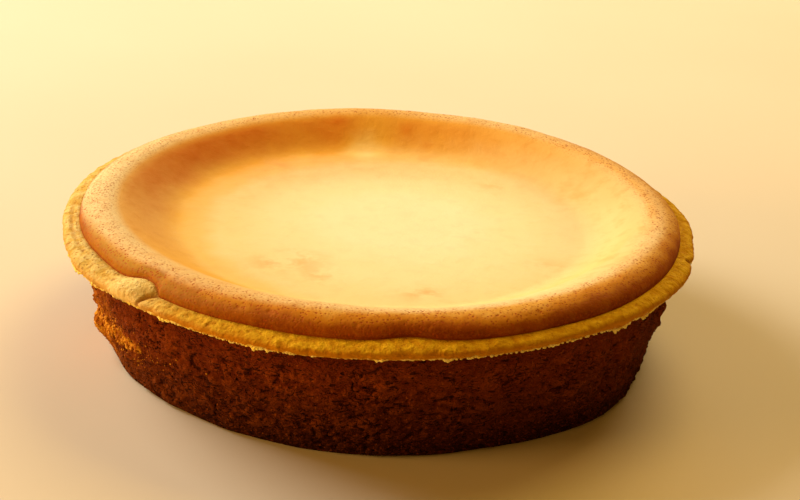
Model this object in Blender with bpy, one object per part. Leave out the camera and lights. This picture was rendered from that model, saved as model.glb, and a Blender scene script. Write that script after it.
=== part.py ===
"""Baked cheesecake: a sunken custard filling in a tapered shortcrust case.

Metres, +Z up. The origin is the centre of the flat underside.
Both pieces are turned shapes whose section changes a little round the cake. Angles round the cake
are azimuths in degrees, counter-clockwise from +X as seen from above.
"""

import math

import bmesh
import bpy
from mathutils import Vector, noise

# Pastry case
BASE_RADIUS = 0.1150          # outside of the wall at its foot
WALL_TOP_RADIUS = 0.1234      # outside of the wall just under the lip
LIP_RADIUS = 0.1302           # outermost edge of the lip
LIP_LOW = 0.0468              # height of the lip's ragged lower edge
LIP_BULGE = 0.0012            # lower edge up to the widest line of the lip
LIP_CROWN = 0.0027            # widest line up to the top of the lip
WALL_THICKNESS = 0.0058
FLOOR_THICKNESS = 0.0060
FLOOR_FILLET = 0.0020         # where the floor meets the wall inside
FOOT_ROUND = 0.0016
WALL_BOW = 0.0005             # outward bow of the wall at half height
LEAN = 0.0115                 # rise of the rim for each metre towards +X

# Filling
EDGE_RADIUS = 0.1231          # where the filling's side meets the top of the lip
CREST_RADIUS = 0.1136
CREST_HEIGHT = 0.0572
DISH_RADIUS = 0.0830          # foot of the crest's inner slope
DISH_HEIGHT = 0.0460
SUNK_HEIGHT = 0.0450          # the middle
SIDE_FOOT = 0.0011            # height of the filling's upright foot on the lip
OVERHANG = 0.0004             # its swelling out above that foot
MOUTH_HEIGHT = 0.0470         # where the case's wall ends and its rim turns outward
MOUTH_DROP = 0.0016           # fall of the rim beneath the filling

GAP = 0.0003                  # between the two pieces
LAP_GAP = 0.0005              # added to it where the lap turns steeply

# Relief
CRAG_DEPTH = 0.0011
CRAG_CELLS = 85.0             # to the metre
RAGGED_DEPTH = 0.0007
RAGGED_CELLS = 260.0
DIMPLE_DEPTH = 0.0004
DIMPLE_CELLS = 30.0

# Swells of an outline: azimuth, half width (degrees), outward rise (metres)
WALL_SWELLS = ((-161, 13, -0.0018), (-131, 10, -0.0006), (-98, 12, 0.0007), (-68, 11, -0.0013),
               (-40, 13, 0.0018), (-16, 12, -0.0013), (40, 25, 0.0008), (100, 20, -0.0008), (150, 16, 0.0006))
LIP_SWELLS = ((-149, 9, 0.0017), (-104, 11, 0.0017), (-55, 20, -0.0017), (-8, 8, -0.0012),
              (26, 15, -0.0014), (66, 14, 0.0008), (105, 13, -0.0008), (158, 16, 0.0016))
EDGE_SWELLS = ((-147, 9, -0.0009), (-121, 9, 0.0009), (-101, 7, 0.0006), (-84, 5, -0.0020),
               (-71, 8, 0.0006), (-45, 10, 0.0006), (-14, 12, -0.0004), (20, 15, -0.0008),
               (88, 40, -0.0010), (160, 14, 0.0005))
CREST_SWELLS = ((-150, 20, -0.0003), (-100, 14, 0.0004), (-60, 25, -0.0003), (15, 20, -0.0003),
                (62, 12, 0.0006), (97, 11, 0.0005), (135, 16, -0.0005))

# Flakes of pastry on the lip's lower edge: azimuth, half width (degrees), downward reach (metres)
FLAKES = ((-151, 2.0, 0.0009), (-143, 2.2, 0.0010), (-46, 2.6, 0.0013), (-39, 1.8, 0.0010),
          (52, 2.4, 0.0009), (96, 2.0, 0.0010), (133, 2.6, 0.0009))

# A thick place in the lip that pushes the filling in
LUMP_AZIMUTH = -84.0
LUMP_HALF_WIDTH = 4.5
LUMP_RISE = 0.0008

# The lap, where the end of one strip of pastry lies on the next
LAP_AZIMUTH = -133.4
LAP_GENTLE = 4.6              # half width on the strip that the end belongs to, in degrees
LAP_ABRUPT = 2.2              # half width at the strip's end
LAP_RISE = 0.0028
LAP_REACH = 0.0026            # how far the lap pushes the filling in

# Filling that leaked out through the wall and baked there as a knob
LEAK_AZIMUTH = -158.5
LEAK_HALF_WIDTH = 2.8
LEAK_HEIGHT = 0.0125
LEAK_HALF_HEIGHT = 0.0050
LEAK_DEPTH = 0.0034

# A notch broken out of the lip
NOTCH_AZIMUTH = -15.0
NOTCH_HALF_WIDTH = 1.6
NOTCH_DEPTH = 0.0012

# Mesh fineness
TURN_STEP = 3.6               # degrees
FINE_STEP = 1.5               # degrees, round the small features
FINE_SPANS = ((LAP_AZIMUTH, 6.0), (LEAK_AZIMUTH, 4.5), (NOTCH_AZIMUTH, 3.0), (-46.0, 3.0))
WALL_ROWS = 7


def clear_scene():
    """Remove what a new file holds."""
    for thing in list(bpy.data.objects):
        bpy.data.objects.remove(thing, do_unlink=True)


def bell(azimuth, centre, half_width):
    """1 at the centre, falling smoothly to 0 on both sides, and closed round the circle."""
    turn = (azimuth - centre + 180.0) % 360.0 - 180.0
    return math.exp(-(turn / half_width) ** 2)


def swell(azimuth, swells):
    """Sum of an outline's swells at one azimuth."""
    return sum(rise * bell(azimuth, centre, half_width) for centre, half_width, rise in swells)


def lap(azimuth):
    """1 on the lap of the pastry strips, 0 elsewhere."""
    turn = (azimuth - LAP_AZIMUTH + 180.0) % 360.0 - 180.0
    return bell(azimuth, LAP_AZIMUTH, LAP_GENTLE if turn < 0.0 else LAP_ABRUPT)


def on_cake(radius, azimuth, height):
    """The point at a radius, azimuth and height, with the rim's lean."""
    angle = math.radians(azimuth)
    x = radius * math.cos(angle)
    return Vector((x, radius * math.sin(angle), height + LEAN * x * height / LIP_LOW))


def uneven(radius, azimuth, height, cells, octaves):
    """Noise of about -1 to 1 that stays put in the cake."""
    return noise.fractal(on_cake(radius, azimuth, height) * cells, 1.0, 2.0, octaves)


def edge_radius(azimuth):
    """Radius of the line where the filling meets the lip."""
    return EDGE_RADIUS + swell(azimuth, EDGE_SWELLS) - LAP_REACH * lap(azimuth)


def lip_top(azimuth):
    """Height of the top of the lip."""
    lump = LUMP_RISE * bell(azimuth, LUMP_AZIMUTH, LUMP_HALF_WIDTH)
    return LIP_LOW + LIP_BULGE + LIP_CROWN + lump + LAP_RISE * lap(azimuth)


def wall_inside(height):
    """Radius of the case's inner wall."""
    return BASE_RADIUS - WALL_THICKNESS + (WALL_TOP_RADIUS - BASE_RADIUS) * height / LIP_LOW


def wall_point(azimuth, part):
    """Outside of the wall at part (0 foot, 1 under the lip) of its height, with its crags."""
    height = FOOT_ROUND + part * (LIP_LOW - FOOT_ROUND)
    middle = math.sin(math.pi * part)
    plain = BASE_RADIUS + part * (WALL_TOP_RADIUS - BASE_RADIUS) + WALL_BOW * middle
    plain += (1.0 - 0.5 * part) * swell(azimuth, WALL_SWELLS)
    crag = CRAG_DEPTH * (0.4 + 0.6 * middle) * uneven(plain, azimuth, height, CRAG_CELLS, 2)
    leak = bell(azimuth, LEAK_AZIMUTH, LEAK_HALF_WIDTH) * bell(height, LEAK_HEIGHT, LEAK_HALF_HEIGHT)
    return plain + crag + LEAK_DEPTH * leak, height


def lip_points(azimuth):
    """The lip's section, from the wall out along its underside and up over its rounded edge."""
    edge = LIP_RADIUS + swell(azimuth, LIP_SWELLS)
    edge -= NOTCH_DEPTH * bell(azimuth, NOTCH_AZIMUTH, NOTCH_HALF_WIDTH)
    ragged = RAGGED_DEPTH * uneven(edge, azimuth, LIP_LOW, RAGGED_CELLS, 1)
    low = LIP_LOW + 0.5 * ragged - swell(azimuth, FLAKES)
    widest = LIP_LOW + LIP_BULGE
    inner = edge_radius(azimuth)
    points = [(WALL_TOP_RADIUS + 0.0006, LIP_LOW - 0.0004),
              ((WALL_TOP_RADIUS + edge) / 2, LIP_LOW - 0.0002),
              (edge - 0.0004 + ragged, low)]
    for angle in (6, 30, 58):
        turn = math.radians(angle)
        radius = inner + (edge - inner) * math.cos(turn)
        points.append((radius, widest + (lip_top(azimuth) - widest) * math.sin(turn)))
    return points


def seat(azimuth, clear):
    """Where the filling sits in the case, from the top of the lip in and down to the floor.

    clear moves the line in and up, off the case.
    """
    edge = edge_radius(azimuth)
    top = lip_top(azimuth)
    mouth = wall_inside(MOUTH_HEIGHT)
    halfway = (MOUTH_HEIGHT + FLOOR_THICKNESS) / 2
    corner = FLOOR_THICKNESS + FLOOR_FILLET
    line = [(edge, top), ((edge + mouth) / 2, top - MOUTH_DROP), (mouth, MOUTH_HEIGHT),
            (wall_inside(halfway), halfway), (wall_inside(corner), corner),
            (wall_inside(FLOOR_THICKNESS) - FLOOR_FILLET, FLOOR_THICKNESS),
            (BASE_RADIUS / 2, FLOOR_THICKNESS)]
    return [(radius - clear, height + clear) for radius, height in line]


def case_section(azimuth):
    """The case's section, from the middle of the underside round to the middle of its floor."""
    foot, _ = wall_point(azimuth, 0.0)
    points = [(BASE_RADIUS / 2, 0.0), (foot - FOOT_ROUND, 0.0)]
    points += [wall_point(azimuth, row / WALL_ROWS) for row in range(WALL_ROWS)]
    points += lip_points(azimuth)
    points += seat(azimuth, 0.0)
    return points


def dish_point(azimuth, part, crest):
    """The crest's inner slope at part (0 crest, 1 foot of the slope) of its width."""
    radius = CREST_RADIUS + part * (DISH_RADIUS - CREST_RADIUS)
    fall = part * part * (3.0 - 2.0 * part)
    dimple = DIMPLE_DEPTH * part * uneven(radius, azimuth, DISH_HEIGHT, DIMPLE_CELLS, 1)
    return radius, crest - (crest - DISH_HEIGHT) * fall + dimple


def middle_point(azimuth, part):
    """The sunken middle at part (0 centre, 1 foot of the slope) of its radius."""
    radius = part * DISH_RADIUS
    dimple = DIMPLE_DEPTH * part * uneven(radius, azimuth, DISH_HEIGHT, DIMPLE_CELLS, 1)
    return radius, SUNK_HEIGHT + (DISH_HEIGHT - SUNK_HEIGHT) * part * part + dimple


def filling_section(azimuth):
    """The filling's section, from the middle of its underside over the crest to the middle."""
    crest = CREST_HEIGHT + swell(azimuth, CREST_SWELLS)
    clear = GAP + LAP_GAP * lap(azimuth)
    points = seat(azimuth, clear)[::-1]
    foot = lip_top(azimuth) + SIDE_FOOT
    reach = edge_radius(azimuth) - clear + OVERHANG - CREST_RADIUS
    for angle in (0, 24, 48, 70, 90):
        turn = math.radians(angle)
        points.append((CREST_RADIUS + reach * math.cos(turn), foot + (crest - foot) * math.sin(turn)))
    points += [dish_point(azimuth, part, crest) for part in (0.14, 0.28, 0.44, 0.60, 0.78, 1.0)]
    points += [middle_point(azimuth, part) for part in (0.72, 0.36)]
    return points


def azimuths():
    """Azimuths all round at one step, closer together in the fine spans."""
    found = {round(index * TURN_STEP, 3) for index in range(round(360.0 / TURN_STEP))}
    for centre, half_width in FINE_SPANS:
        count = math.ceil(half_width / FINE_STEP)
        found |= {round((centre + index * FINE_STEP) % 360.0, 3) for index in range(-count, count + 1)}
    kept = []
    for azimuth in sorted(found):
        if not kept or azimuth - kept[-1] > FINE_STEP / 2:
            kept.append(azimuth)
    return kept


def turned(name, section, middle_low, middle_high, material):
    """A closed turned piece whose section is a function of azimuth."""
    mesh = bmesh.new()
    rings = []
    for azimuth in azimuths():
        rings.append([mesh.verts.new(on_cake(radius, azimuth, height)) for radius, height in section(azimuth)])
    bottom = mesh.verts.new((0.0, 0.0, middle_low))
    top = mesh.verts.new((0.0, 0.0, middle_high))
    for ring, after in zip(rings, rings[1:] + rings[:1]):
        mesh.faces.new((bottom, after[0], ring[0]))
        mesh.faces.new((top, ring[-1], after[-1]))
        for low in range(len(ring) - 1):
            mesh.faces.new((ring[low], after[low], after[low + 1], ring[low + 1]))
    data = bpy.data.meshes.new(name)
    mesh.to_mesh(data)
    mesh.free()
    data.shade_smooth()
    data.set_sharp_from_angle(angle=math.radians(50.0))
    data.materials.append(material)
    piece = bpy.data.objects.new(name, data)
    bpy.context.scene.collection.objects.link(piece)


def baked(name, colour, roughness):
    """A matt food surface."""
    material = bpy.data.materials.new(name)
    material.use_nodes = True
    shader = material.node_tree.nodes["Principled BSDF"]
    shader.inputs["Base Color"].default_value = (*colour, 1.0)
    shader.inputs["Roughness"].default_value = roughness
    shader.inputs["Metallic"].default_value = 0.0
    return material


def make_case():
    """The shortcrust case: floor, wall and overhanging lip."""
    pastry = baked("shortcrust", (0.42, 0.19, 0.045), 0.75)
    turned("pastry_case", case_section, 0.0, FLOOR_THICKNESS, pastry)


def make_filling():
    """The filling, solid down to the case's floor."""
    custard = baked("custard", (0.86, 0.56, 0.22), 0.5)
    turned("filling", filling_section, FLOOR_THICKNESS + GAP, SUNK_HEIGHT, custard)


clear_scene()
make_case()
make_filling()
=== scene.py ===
"""Baked cheesecake, dressed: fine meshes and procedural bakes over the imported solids.

Metres, +Z up. Angles round the cake are azimuths in degrees, counter-clockwise from +X as seen from
above. The forms are those of the part's source, with finer relief.
"""

import math
import random
from functools import lru_cache

import bpy
from mathutils import Matrix, Vector, noise


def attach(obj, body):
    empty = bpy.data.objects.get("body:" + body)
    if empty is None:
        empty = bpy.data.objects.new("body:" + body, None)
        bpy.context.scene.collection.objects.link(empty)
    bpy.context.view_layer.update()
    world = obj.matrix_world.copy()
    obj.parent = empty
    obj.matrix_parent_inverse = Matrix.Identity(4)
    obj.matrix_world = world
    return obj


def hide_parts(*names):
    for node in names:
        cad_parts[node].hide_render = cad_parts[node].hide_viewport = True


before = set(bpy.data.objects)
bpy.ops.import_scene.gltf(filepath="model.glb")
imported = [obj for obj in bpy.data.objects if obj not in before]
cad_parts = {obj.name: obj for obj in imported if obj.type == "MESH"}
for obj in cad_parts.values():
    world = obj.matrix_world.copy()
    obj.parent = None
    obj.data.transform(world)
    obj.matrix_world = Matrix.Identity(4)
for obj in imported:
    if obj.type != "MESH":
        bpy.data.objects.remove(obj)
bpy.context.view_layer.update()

noise.seed_set(7)             # without it, noise_vector differs from run to run

# Pastry case
BASE_RADIUS = 0.1150          # outside of the wall at its foot
WALL_TOP_RADIUS = 0.1234      # outside of the wall just under the lip
LIP_RADIUS = 0.1302           # outermost edge of the lip
LIP_LOW = 0.0468              # height of the lip's ragged lower edge
LIP_BULGE = 0.0012            # lower edge up to the widest line of the lip
LIP_CROWN = 0.0027            # widest line up to the top of the lip
WALL_THICKNESS = 0.0058
FLOOR_THICKNESS = 0.0060
FLOOR_FILLET = 0.0020
FOOT_ROUND = 0.0016
WALL_BOW = 0.0005
LEAN = 0.0115                 # rise of the rim for each metre towards +X

# Filling
EDGE_RADIUS = 0.1231          # where the filling's side meets the top of the lip
CREST_RADIUS = 0.1136
CREST_HEIGHT = 0.0572
DISH_RADIUS = 0.0830          # foot of the crest's inner slope
DISH_HEIGHT = 0.0460
SUNK_HEIGHT = 0.0450
SIDE_FOOT = 0.0011
OVERHANG = 0.0004
MOUTH_HEIGHT = 0.0470
MOUTH_DROP = 0.0016
GAP = 0.0003
LAP_GAP = 0.0005

# Relief shared with the solids
CRAG_DEPTH = 0.0011
CRAG_CELLS = 85.0
RAGGED_DEPTH = 0.0007
RAGGED_CELLS = 260.0
DIMPLE_DEPTH = 0.0004
DIMPLE_CELLS = 30.0

# Swells of an outline: azimuth, half width (degrees), outward rise (metres)
WALL_SWELLS = ((-161, 13, -0.0018), (-131, 10, -0.0006), (-98, 12, 0.0007), (-68, 11, -0.0013),
               (-40, 13, 0.0018), (-16, 12, -0.0013), (40, 25, 0.0008), (100, 20, -0.0008), (150, 16, 0.0006))
LIP_SWELLS = ((-149, 9, 0.0017), (-104, 11, 0.0017), (-55, 20, -0.0017), (-8, 8, -0.0012),
              (26, 15, -0.0014), (66, 14, 0.0008), (105, 13, -0.0008), (158, 16, 0.0016))
EDGE_SWELLS = ((-147, 9, -0.0009), (-121, 9, 0.0009), (-101, 7, 0.0006), (-84, 5, -0.0020),
               (-71, 8, 0.0006), (-45, 10, 0.0006), (-14, 12, -0.0004), (20, 15, -0.0008),
               (88, 40, -0.0010), (160, 14, 0.0005))
CREST_SWELLS = ((-150, 20, -0.0003), (-100, 14, 0.0004), (-60, 25, -0.0003), (15, 20, -0.0003),
                (62, 12, 0.0006), (97, 11, 0.0005), (135, 16, -0.0005))
FLAKES = ((-151, 2.0, 0.0009), (-143, 2.2, 0.0010), (-46, 2.6, 0.0013), (-39, 1.8, 0.0010),
          (52, 2.4, 0.0009), (96, 2.0, 0.0010), (133, 2.6, 0.0009))
LUMP_AZIMUTH = -84.0
LUMP_HALF_WIDTH = 4.5
LUMP_RISE = 0.0008
LAP_AZIMUTH = -133.4
LAP_GENTLE = 4.6
LAP_END = 4.0                 # degrees from the middle of the lap to its blunt end
LAP_SLANT = 2.2               # degrees by which the outer side of that end lies further back
LAP_RISE = 0.0028
LAP_REACH = 0.0026
LEAK_AZIMUTH = -158.5
LEAK_HALF_WIDTH = 2.8
LEAK_HEIGHT = 0.0125
LEAK_HALF_HEIGHT = 0.0050
LEAK_DEPTH = 0.0034
NOTCH_AZIMUTH = -15.0
NOTCH_HALF_WIDTH = 1.6
NOTCH_DEPTH = 0.0012

# Fine relief of the case
WALL_COUNT = 1600             # points round the wall
WALL_ROWS = 54
CRUST_DEPTH = 0.0030          # from the wall's surface to the back of its crust
LIP_COUNT = 2400              # points round the lip
LIP_TURNS = (-16.0, -6.0, 2.0, 8.0, 14.0, 20.0, 26.0, 32.0, 38.0, 44.0, 50.0, 56.0, 62.0, 68.0, 74.0, 81.0)
UNDERSIDE_RINGS = ((75, 0.015), (150, 0.035), (300, 0.060), (300, 0.085), (300, 0.103), (300, 0.1115))
INNER_DEPTH = 0.0022          # from the wall's surface to the case behind its crust
LUMP_DEPTH = 0.00130
GRAIN_DEPTH = 0.00020
CRACK_DEPTH = 0.00080
CALM_PART = 0.90              # above this part of its height the wall is smoother
CRACK_SQUASH = 2.2            # cracks lie along the wall
LUMP_SQUASH = 1.45
TOOTH_DEPTH = 0.00060         # teeth of the lip's torn lower edge

CRACK_RADIUS = 120.0          # mm, on which the longer cracks are laid out
CRACK_REACH = 14.0            # mm, past which a crack ends

# Longer cracks in the wall: azimuth and height (mm) at both ends, half width (mm)
LONG_CRACKS = ((-122.2, 31.0, -123.6, 28.5, 0.55), (-123.6, 28.5, -123.4, 25.5, 0.60),
               (-123.4, 25.5, -121.8, 24.0, 0.60), (-88.6, 40.5, -90.0, 37.8, 0.40),
               (-90.0, 37.8, -91.8, 37.0, 0.40), (-90.5, 8.6, -87.0, 12.4, 0.45),
               (-69.0, 39.4, -66.5, 40.3, 0.30), (-66.5, 29.5, -64.5, 31.8, 0.32),
               (-63.5, 29.2, -62.0, 31.1, 0.28), (-78.5, 34.6, -77.0, 35.2, 0.34),
               (-83.5, 41.9, -81.5, 42.6, 0.32), (-69.5, 27.3, -68.0, 28.3, 0.32),
               (-79.0, 25.1, -76.0, 26.7, 0.45), (-94.0, 17.2, -92.5, 17.8, 0.34),
               (128.0, 34.0, 130.5, 31.5, 0.50), (72.0, 20.0, 74.5, 21.5, 0.45),
               (158.0, 28.0, 160.5, 30.0, 0.40), (22.0, 33.0, 24.5, 34.5, 0.40))

# Baked-on custard round the leak: azimuth, height, half width (degrees), half height, strength
LEAK_PATCHES = ((-158.5, 0.0125, 3.4, 0.0060, 1.3), (-151.5, 0.0170, 3.4, 0.0046, 0.82),
                (-146.5, 0.0185, 3.2, 0.0042, 0.76), (-142.0, 0.0200, 2.8, 0.0040, 0.68),
                (-138.0, 0.0205, 2.4, 0.0034, 0.60))

# Holes in the top of the lip: azimuth, radius, half width, depth
LIP_PITS = ((-139.5, 0.1275, 0.0010, 0.0007), (-154.0, 0.1265, 0.0008, 0.0006),
            (-158.5, 0.1296, 0.0009, 0.0006), (-147.0, 0.1290, 0.0007, 0.0004),
            (-117.0, 0.1290, 0.0008, 0.0004), (-110.0, 0.1275, 0.0008, 0.0004))

# Holes in the filling's crest: azimuth, radius, half width, depth
CREST_PITS = ((-108.0, 0.1203, 0.0008, 0.0004), (-107.4, 0.1207, 0.0006, 0.0003),
              (-93.0, 0.1213, 0.0008, 0.0003), (-113.5, 0.1212, 0.0006, 0.0003),
              (-100.5, 0.1112, 0.0007, 0.0003), (-100.0, 0.1106, 0.0005, 0.0003),
              (-122.0, 0.1190, 0.0006, 0.0003), (-128.0, 0.1165, 0.0006, 0.0003),
              (-81.0, 0.1205, 0.0006, 0.0003), (-61.0, 0.1195, 0.0006, 0.0003),
              (-38.0, 0.1180, 0.0006, 0.0003))

# Longer flakes of the torn edge under the lip: azimuth, half width (degrees), reach below the lip
SLIVERS = ((-46.4, 2.4, 0.0015), (-39.6, 2.6, 0.0011), (-89.0, 0.8, 0.0011), (-78.5, 0.8, 0.0012),
           (-74.5, 0.7, 0.0008), (-64.0, 0.6, 0.0009), (-60.0, 0.9, 0.0008), (-108.3, 0.9, 0.0013),
           (-106.0, 0.6, 0.0009), (-125.5, 1.0, 0.0011), (-137.0, 1.2, 0.0009), (-150.5, 1.6, 0.0008),
           (-14.0, 0.9, 0.0011), (30.0, 2.0, 0.0010), (63.0, 1.5, 0.0012), (99.0, 1.1, 0.0010),
           (131.0, 2.2, 0.0013), (163.0, 1.4, 0.0009))

# Rows of beads of dough under the lip: azimuth from, to and step, size
BEADS = ((-79.0, -44.0, 0.92, 0.00072), (-126.0, -101.0, 0.62, 0.00042), (40.0, 74.0, 0.90, 0.00060),
         (118.0, 146.0, 0.80, 0.00055))

# Faint browned smudges on the sunken middle: azimuth, radius, half width, strength
SMUDGES = ((-126, 0.053, 0.010, 0.7), (-109.5, 0.064, 0.008, 0.8), (-130.5, 0.066, 0.009, 0.6),
           (-78.5, 0.072, 0.007, 0.7), (-74, 0.075, 0.006, 0.6), (-8.5, 0.037, 0.010, 0.4),
           (-31, 0.078, 0.008, 0.6), (130.5, 0.076, 0.010, 0.6), (78.5, 0.080, 0.008, 0.7),
           (43.5, 0.071, 0.009, 0.6), (50, 0.096, 0.007, 0.6), (23, 0.089, 0.008, 0.6),
           (128.5, 0.079, 0.0055, 1.3))

# Browning on the inner slope of the crest: azimuth, half width (degrees), strength
BROWNED = ((166, 12, 0.55), (148, 12, 0.85), (128, 13, 1.0), (105, 10, 0.75), (83, 7, 0.45),
           (70, 10, 0.30), (178, 14, 0.30), (-160, 16, 0.20), (60, 14, 0.12))

# Spots in that browning: azimuth, radius, half width, change of strength
BROWN_SPOTS = ((96.5, 0.0885, 0.0085, -0.50), (102.5, 0.1050, 0.0045, 0.28), (85.0, 0.1008, 0.0030, 0.30),
               (78.0, 0.0925, 0.0026, 0.22), (116.0, 0.0850, 0.0040, -0.20))

# Zones of the bake, with painted light on the inner slopes (left and right) and painted shade at their foot
# (back and right): azimuth, half width (degrees), radii where they start and are full, radii where they end
# and are still full
LEFT_SLOPE_LIGHT = (-176, 36, 0.082, 0.096, 0.1150, 0.1100)
RIGHT_SLOPE_LIGHT = (2, 48, 0.056, 0.082, 0.1150, 0.1085)
BACK_FOOT = (112, 58, 0.036, 0.066, 0.098, 0.088)
RIGHT_FOOT = (42, 27, 0.074, 0.084, 0.111, 0.102)
FOOT_SHADE = 0.27
# The same, with the shift of the bake's colours there: painted shade on the left and at the back, painted
# highlight on the right and in front on the right
TONE_AND_LIGHT_ZONES = ((0.075, (176, 52, 0.030, 0.080, 0.104, 0.096)), (0.075, (112, 46, 0.040, 0.075, 0.100, 0.090)),
              (-0.030, (12, 58, 0.060, 0.090, 0.112, 0.105)), (-0.09, (-68, 52, 0.025, 0.055, 0.104, 0.092)))
PIT_SHADE = 1600.0            # darkness of a hole in the crest for each metre of its depth
BAKE_REACH = 0.1262           # from the middle of the top, over the crest, to the foot of its flank
# Painted reflection of the light behind the cake: a paler spot just right of the middle
SHEEN_CENTRE = Vector((0.022, 0.005))
SHEEN_REACH = 0.045
SHEEN_SHIFT = -0.22
CLEAR_PATCH = Vector((-0.0100, 0.0850))
CLEAR_REACH = Vector((0.0085, 0.0120))
CLEAR_SHIFT = -0.09

# Parts round the cake with a look of their own, some of it painted light: azimuth, half width (degrees),
# strength
# Creamy pastry on the left and at the back; round -139 degrees it is a painted highlight on the knob of the
# lap
CREAMY_AND_HIGHLIGHT_PARTS = ((-168, 30, 1.0), (-139, 10, 1.0), (122, 48, 0.75))
# Painted light on the lip at the front right
SUNLIT_PARTS = ((-28, 43, 1.0), (-50, 14, 0.5))
STAND_OFF = ((-85, 19, 1.0), (-45, 16, 0.5), (70, 30, 0.4))      # of the filling's side from the lip
TORN_PARTS = ((-64, 20), (-112, 14), (-148, 20), (60, 25), (140, 25))

# Fine relief of the filling, and counts
SKIN_CELLS = 70.0
GRAIN_CELLS = 420.0
FLANK_DEPTH = 0.00018
FLANK_GRAIN = 0.00007
SKIN_DEPTH = 0.00014
SKIN_GRAIN = 0.00005
BURR_COUNT = 3600             # points round the torn edge
TOP_COUNT = 1440              # points round the crest
CRUMBS = 1500
LEAK_CRUMBS = 260

# Soft square lights: name, place, height on the axis that it faces, size, watts, colour
LIGHTS = (("key", (-1.35, 0.80, 0.90), 0.04, 1.0, 38.0, (1.0, 0.95, 0.88)),
          ("back", (0.35, 1.70, 0.85), 0.04, 1.3, 11.0, (1.0, 0.90, 0.74)),
          ("right", (0.50, 0.90, 1.25), 0.04, 0.9, 12.5, (1.0, 0.72, 0.22)),
          ("left", (-1.40, -0.45, 0.34), 0.03, 0.6, 13.0, (1.0, 0.58, 0.16)),
          ("front", (-0.3, -1.6, 0.7), 0.04, 1.2, 2.2, (1.0, 0.46, 0.05)))
ROOM_COLOUR = (1.0, 0.52, 0.09, 1.0)
ROOM_STRENGTH = 0.15

CAMERA_PLACE = Vector((0.0, -0.6200, 0.2946))
CAMERA_TARGET = Vector((0.00863, 0.0, 0.03328))
CAMERA_ROLL = 0.0641
CAMERA_LENS = 72.0


def bell(azimuth, centre, half_width):
    """1 at the centre, falling smoothly to 0 on both sides, and closed round the circle."""
    turn = (azimuth - centre + 180.0) % 360.0 - 180.0
    return math.exp(-(turn / half_width) ** 2)


@lru_cache(maxsize=None)
def swell(azimuth, swells):
    """Sum of an outline's swells at one azimuth."""
    return sum(rise * bell(azimuth, centre, half_width) for centre, half_width, rise in swells)


def lap(azimuth):
    """1 on the lap of the pastry strips, 0 elsewhere: it tapers on one side and ends bluntly on the other."""
    turn = (azimuth - LAP_AZIMUTH + 180.0) % 360.0 - 180.0
    if turn < 0.0:
        return bell(azimuth, LAP_AZIMUTH, LAP_GENTLE)
    return max(0.0, 1.0 - (turn / LAP_END) ** 2.4) ** 0.85


def on_cake(radius, azimuth, height):
    """The point at a radius, azimuth and height, with the rim's lean."""
    angle = math.radians(azimuth)
    x = radius * math.cos(angle)
    return Vector((x, radius * math.sin(angle), height + LEAN * x * height / LIP_LOW))


def plan(azimuth, radius):
    """The point at an azimuth and radius, seen from above."""
    angle = math.radians(azimuth)
    return Vector((radius * math.cos(angle), radius * math.sin(angle)))


def grained(spot, cells, octaves=2):
    """Noise of about -1 to 1 at a point, with about so many cells to the metre."""
    return noise.fractal(spot * cells, 1.0, 2.0, octaves)


def uneven(radius, azimuth, height, cells, octaves):
    """The same noise at a radius, azimuth and height."""
    return grained(on_cake(radius, azimuth, height), cells, octaves)


@lru_cache(maxsize=None)
def lip_edge(azimuth):
    """Radius of the lip's widest line."""
    notch = NOTCH_DEPTH * bell(azimuth, NOTCH_AZIMUTH, NOTCH_HALF_WIDTH)
    return LIP_RADIUS + swell(azimuth, LIP_SWELLS) - notch


@lru_cache(maxsize=None)
def torn_edge(azimuth):
    """Radius and height of the lip's ragged lower edge, before its teeth."""
    edge = lip_edge(azimuth)
    ragged = RAGGED_DEPTH * uneven(edge, azimuth, LIP_LOW, RAGGED_CELLS, 1)
    return edge + ragged, LIP_LOW + 0.5 * ragged - swell(azimuth, FLAKES)


@lru_cache(maxsize=None)
def edge_radius(azimuth):
    """Radius of the line where the filling meets the lip."""
    return EDGE_RADIUS + swell(azimuth, EDGE_SWELLS) - LAP_REACH * lap(azimuth)


@lru_cache(maxsize=None)
def lip_top(azimuth):
    """Height of the top of the lip."""
    lump = LUMP_RISE * bell(azimuth, LUMP_AZIMUTH, LUMP_HALF_WIDTH)
    return LIP_LOW + LIP_BULGE + LIP_CROWN + lump + LAP_RISE * lap(azimuth)


def wall_inside(height):
    """Radius of the case's inner wall."""
    return BASE_RADIUS - WALL_THICKNESS + (WALL_TOP_RADIUS - BASE_RADIUS) * height / LIP_LOW


def wall_point(azimuth, part):
    """Outside of the wall at part (0 foot, 1 under the lip) of its height, with its crags."""
    height = FOOT_ROUND + part * (LIP_LOW - FOOT_ROUND)
    middle = math.sin(math.pi * part)
    plain = BASE_RADIUS + part * (WALL_TOP_RADIUS - BASE_RADIUS) + WALL_BOW * middle
    plain += (1.0 - 0.5 * part) * swell(azimuth, WALL_SWELLS)
    crag = CRAG_DEPTH * (0.4 + 0.6 * middle) * uneven(plain, azimuth, height, CRAG_CELLS, 2)
    leak = bell(azimuth, LEAK_AZIMUTH, LEAK_HALF_WIDTH) * bell(height, LEAK_HEIGHT, LEAK_HALF_HEIGHT)
    return plain + crag + LEAK_DEPTH * leak, height


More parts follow.
